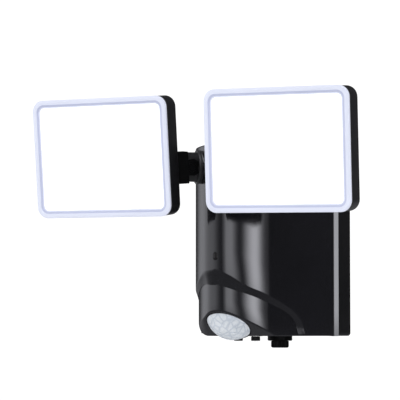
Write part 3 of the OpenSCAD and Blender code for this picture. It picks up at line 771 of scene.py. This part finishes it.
# ---- lamp heads ----
def head(side):
    """A lamp head: shell, rear details, bezel with a strip of painted shade, and the lit panel."""
    body = side + "_head"
    base = head_matrix(side) @ Matrix.Translation((0, 0, HEAD_RISE))

    def loop(inset, y):
        corner_r = max(2.5, HEAD_R - 0.8 * inset)
        return placed(rounded_loop(HEAD_W - 2 * inset, HEAD_H - 2 * inset, corner_r, y), base)

    def skin(profile, joined):
        """Loops at (inset, depth behind the face) pairs."""
        bm = bmesh.new()
        add_loft(bm, [loop(t, FACE_Y + depth) for t, depth in profile], joined=joined)
        return bm

    bm = bmesh.new()
    deep_y = BACK_Y - 1.2
    outer = [loop(2.2, RIM_Y), loop(0.6, RIM_Y), loop(0.3, RIM_Y + 0.3), loop(0.3, BACK_Y - 1.9)]
    turns, edge_r = (0.3, 0.6, 0.9, 1.2, math.pi / 2), 1.8
    outer += [loop(0.3 + edge_r * (1 - math.cos(a)), BACK_Y - 1.9 + edge_r * math.sin(a)) for a in turns]
    outer += [loop(3.2, BACK_Y - 0.1), loop(3.6, BACK_Y - 0.3), loop(3.8, BACK_Y - 0.7), loop(4.3, deep_y)]
    outer += [loop(20, deep_y)]
    inner = [loop(20, deep_y - 2), loop(5.4, deep_y - 2), loop(2.2, BACK_Y - 5)]
    add_loft(bm, outer, cap_start=False)
    bm.faces.ensure_lookup_table()
    made = add_grid(bm, [loop(2.2, RIM_Y)] + list(reversed(inner)), closed=True)
    bm.faces.new(made[-1])
    piece(side + "_head_shell", bm, body, M["head_black"], [side + "_head_housing"])
    rear_ribs(side, base, deep_y)
    bezel = [(0.15, 2.2), (0, 2.05), (0, 0.9), (0.12, 0.45), (0.4, 0.15), (0.9, 0), (4.0, 0), (4.3, 0.1),
             (6.1, 0.9), (6.3, 0.95), (BEZEL_W - 0.3, 0.95), (BEZEL_W - 0.1, 1.05), (BEZEL_W, 1.2),
             (BEZEL_W, 1.6), (4.3, 1.6), (4.3, 2.2)]
    bm = skin(bezel, joined=True)
    piece(side + "_bezel", bm, body, M["bezel_white"], [side + "_head_bezel"], sharp=40)
    # The groove's sloping wall inside the bezel, in the darker copy of its plastic: painted shade.
    bm = skin([(4.3, 0.4), (4.3, 0.05), (6.1, 0.85), (6.1, 1.2)], joined=True)
    piece(side + "_bezel_painted_shade", bm, body, M["bezel_painted_shade"], sharp=40)
    panel = [(4.6, 2.5), (4.6, 1.9), (BEZEL_W + 0.1, 1.8), (BEZEL_W + 0.15, 1.5), (BEZEL_W + 0.4, 1.3),
             (BEZEL_W + 0.8, 1.22), (12, 1.2)]
    bm = skin(panel, joined=False)
    piece(side + "_panel", bm, body, M["lit_panel"], [side + "_diffuser"])


def rear_ribs(side, base, deep_y):
    """Cooling ribs, screw bosses and the two hinge lugs on the back of a head."""
    body = side + "_head"
    bm = bmesh.new()
    rib_pitch, rib_w, rib_h = 7, 2.2, HEAD_H - 26
    hinge_x, boss_x, boss_room = 12, 45, 14
    for k in range(-7, 8):
        x = k * rib_pitch
        if abs(x) < hinge_x:
            continue
        half = rib_h / 2 - (boss_room if abs(x) > boss_x else 0)
        low = rounded_box_loop(x, rib_w, half, deep_y - 0.3)
        high = rounded_box_loop(x, rib_w * 0.62, half - 0.5, BACK_Y)
        add_loft(bm, [placed(low, base), placed(high, base)])
    piece(side + "_rear_ribs", bm, body, M["head_black"], bevel=0.25, segments=2)
    bm = bmesh.new()
    turn = Matrix.Rotation(-math.pi / 2, 4, "X")
    boss = [(3.1, deep_y - 2), (5.2, deep_y - 2), (4.9, BACK_Y - 0.2), (4.6, BACK_Y), (3.5, BACK_Y),
            (3.2, BACK_Y - 0.25)]
    for sx in (-1, 1):
        for sz in (-1, 1):
            at = base @ Matrix.Translation((sx * POST_W / 2, 0, sz * POST_H / 2)) @ turn
            add_lathe(bm, boss, at, 40, joined=True)
    piece(side + "_rear_bosses", bm, body, M["head_black"])
    bm = bmesh.new()
    hinge = head_matrix(side)
    lug_r, lug_low, lug_high = 8, 7.2, 12.2
    for sign in (-1, 1):
        outline = [Vector((lug_r * math.cos(a), lug_r * math.sin(a), 0))
                   for a in [math.pi * k / 24 for k in range(25)]]
        outline += [Vector((-lug_r - 2.5, BACK_Y - 1.5, 0)), Vector((lug_r + 2.5, BACK_Y - 1.5, 0))]
        rings = [[p + Vector((0, 0, sign * z)) for p in outline] for z in (lug_low, lug_high)]
        add_loft(bm, [placed(ring, hinge) for ring in rings])
    piece(side + "_hinge_lugs", bm, body, M["head_black"], bevel=0.8)


def rounded_box_loop(x, width, half, y):
    """A tall narrow loop with rounded ends, centred on x, in the XZ plane at depth y."""
    points = []
    r, steps = width / 2, 6
    for end in (1, -1):
        for k in range(steps + 1):
            a = math.pi * k / steps
            points.append(Vector((x + end * r * math.cos(a), y, end * (half - r + r * math.sin(a)))))
    return points


# ---- CAD nodes that stay: rounded edges and materials ----
def keep(names, material, round_by=0.0):
    """Gives CAD nodes their material and, where it's asked for, rounded edges as modifiers."""
    for name in names:
        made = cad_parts[name]
        made.data.materials.clear()
        made.data.materials.append(M[material])
        if round_by:
            weld = made.modifiers.new("weld", "WELD")
            weld.merge_threshold = 0.00001
            flat = made.modifiers.new("flat_faces", "DECIMATE")
            flat.decimate_type = "DISSOLVE"
            flat.angle_limit = math.radians(0.5)
            round_edges(made, round_by, segments=2)


def both(*names):
    """The names of the left and the right copies."""
    return [f"{side}_{name}" for side in SIDES for name in names]


def dress_cad():
    keep(["rear_case"], "satin_black", 0.8)
    keep(["wall_plate"], "steel", 0.3)
    keep(["case_screws", "plate_screws"], "steel", 0.25)
    keep(both("arm_socket"), "gloss_black", 0.7)
    keep(both("arm_knuckle"), "knuckle_grey", 0.8)
    keep(both("arm_link"), "link_black", 0.9)
    keep(both("knuckle_bolt", "knuckle_nut"), "link_black", 0.25)
    keep(both("pan_pin", "head_screws", "arm_nut"), "steel", 0.25)
    keep(["case_gasket"] + both("arm_washer", "head_gasket"), "rubber")
    keep(["lens_ring"], "ring_dark")
    keep(["pir_sensor"], "steel")
    keep(["pir_board", "control_board", "driver_board"], "board_green")
    keep(["photocell"], "sensor_tan")
    keep(["dial_pots"], "part_blue")
    keep(["driver_parts"], "driver_mixed")
    keep(["terminal_block"], "terminal_grey")
    keep(both("light_guide"), "light_guide")
    keep(both("led_board"), "board_white")
    keep(both("led_chips"), "led_yellow")
    keep(both("heat_spreader"), "aluminium")


# ---- studio ----
def make_floor():
    """A pale floor just under the object. Gloss doesn't see it."""
    bm = bmesh.new()
    half, drop = 30, cad_box[0].z - 0.15
    for x, y in ((-half, -half), (half, -half), (half, half), (-half, half)):
        bm.verts.new((x, y, drop))
    bm.faces.new(bm.verts)
    mesh = bpy.data.meshes.new("floor")
    bm.to_mesh(mesh)
    bm.free()
    pale = surface("pale_floor", (0.965,) * 3, (0.985,) * 3, (0.7, 0.8), patch=3, depth=0)
    mesh.materials.append(pale)
    floor = bpy.data.objects.new("floor", mesh)
    bpy.context.scene.collection.objects.link(floor)
    floor.visible_glossy = False


def softbox(name, azimuth, elevation, distance, size, power):
    """A diffuse-only softbox that faces the body, at an azimuth measured like the camera's."""
    data = bpy.data.lights.new(name, "AREA")
    data.shape = "SQUARE"
    data.size = size
    data.energy = power
    light = bpy.data.objects.new(name, data)
    bpy.context.scene.collection.objects.link(light)
    a, e = math.radians(azimuth), math.radians(elevation)
    aim = Vector((0, -0.08, 0))
    back = Vector((math.sin(a) * math.cos(e), -math.cos(a) * math.cos(e), math.sin(e)))
    light.location = aim + back * distance
    light.rotation_mode = "QUATERNION"
    light.rotation_quaternion = (-back).to_track_quat("-Z", "Y")
    light.visible_glossy = False


# What gloss mirrors round the object: azimuth in degrees, measured like the camera's, and radiance.
ROOM = (
    (-150, 0.06), (-134, 0.06), (-127, 0.12), (-121, 0.45), (-114, 0.85), (-96, 1.3), (-86, 1.45),
    (-48, 1.7), (-38, 1.5), (-30, 1.1), (-20, 0.6), (-12, 0.3), (-2, 0.2), (8, 1.3), (18, 3.3), (33, 3.6),
    (41, 3.5), (44, 3.2), (46, 1.9), (48, 0.8), (50, 0.1), (52.5, 0.4), (54.5, 2.2), (58, 6.2), (61, 8.9),
    (64, 8.9), (66, 6.4), (68, 2.8), (70.5, 0.8), (77, 0.15), (85, 0.1), (100, 0.1),
)
BRIGHTEST = 9
GROUND = 0.3  # radiance from below the horizon


def make_world():
    """White to the camera and to matt surfaces; gloss sees a dim room with tall softboxes instead."""
    world = bpy.data.worlds.new("studio")
    bpy.context.scene.world = world
    world.use_nodes = True
    tree = world.node_tree
    sky = tree.nodes["Background"]
    sky.inputs["Color"].default_value = (1, 1, 1, 1)
    sky.inputs["Strength"].default_value = 1.12
    room = node(tree, "ShaderNodeBackground")
    room.inputs["Color"].default_value = (0.93, 0.935, 1, 1)
    coord = tree.nodes.new("ShaderNodeTexCoord")
    split = tree.nodes.new("ShaderNodeSeparateXYZ")
    tree.links.new(coord.outputs["Generated"], split.inputs["Vector"])

    def maths(operation, first, second):
        """Each value is a number or another node's output."""
        made = tree.nodes.new("ShaderNodeMath")
        made.operation = operation
        for value, slot in zip((first, second), made.inputs):
            if isinstance(value, (int, float)):
                slot.default_value = value
            else:
                tree.links.new(value, slot)
        return made.outputs["Value"]

    def spread(value, start, end, low, high):
        """The value's range from start to end, mapped to low to high."""
        made = tree.nodes.new("ShaderNodeMapRange")
        for key, number in (("From Min", start), ("From Max", end), ("To Min", low), ("To Max", high)):
            made.inputs[key].default_value = number
        tree.links.new(value, made.inputs["Value"])
        return made.outputs["Result"]

    azimuth = maths("ARCTAN2", split.outputs["X"], maths("MULTIPLY", split.outputs["Y"], -1))
    first, last = ROOM[0][0], ROOM[-1][0]
    ramp = tree.nodes.new("ShaderNodeValToRGB")
    stops = ramp.color_ramp.elements
    for i, (angle, radiance) in enumerate(ROOM):
        at = (angle - first) / (last - first)
        stop = stops[0] if i == 0 else stops.new(at) if i < len(ROOM) - 1 else stops[len(stops) - 1]
        stop.position = at
        stop.color = (radiance / BRIGHTEST,) * 3 + (1,)
    tree.links.new(spread(azimuth, math.radians(first), math.radians(last), 0, 1), ramp.inputs["Fac"])
    above = spread(split.outputs["Z"], -0.2, -0.03, 0, 1)
    level = maths("MULTIPLY", maths("MULTIPLY", ramp.outputs["Color"], BRIGHTEST), above)
    ground = maths("MULTIPLY", maths("SUBTRACT", 1, above), GROUND)
    tree.links.new(maths("ADD", level, ground), room.inputs["Strength"])
    path = tree.nodes.new("ShaderNodeLightPath")
    mix = tree.nodes.new("ShaderNodeMixShader")
    tree.links.new(path.outputs["Is Glossy Ray"], mix.inputs["Fac"])
    tree.links.new(sky.outputs["Background"], mix.inputs[1])
    tree.links.new(room.outputs["Background"], mix.inputs[2])
    tree.links.new(mix.outputs["Shader"], tree.nodes["World Output"].inputs["Surface"])


def make_lights():
    softbox("key", azimuth=-20, elevation=35, distance=1.6, size=0.8, power=3)
    bpy.context.scene.view_settings.view_transform = "Standard"


make_camera()
front_cover()
sensor_housing()
sensor_lens()
light_window()
for dial_name, dial_x in (("dial_left", -DIAL_X), ("dial_right", DIAL_X)):
    dial(dial_name, dial_x)
dial_scale()
gland()
for one_side in SIDES:
    head(one_side)
dress_cad()
make_floor()
make_world()
make_lights()
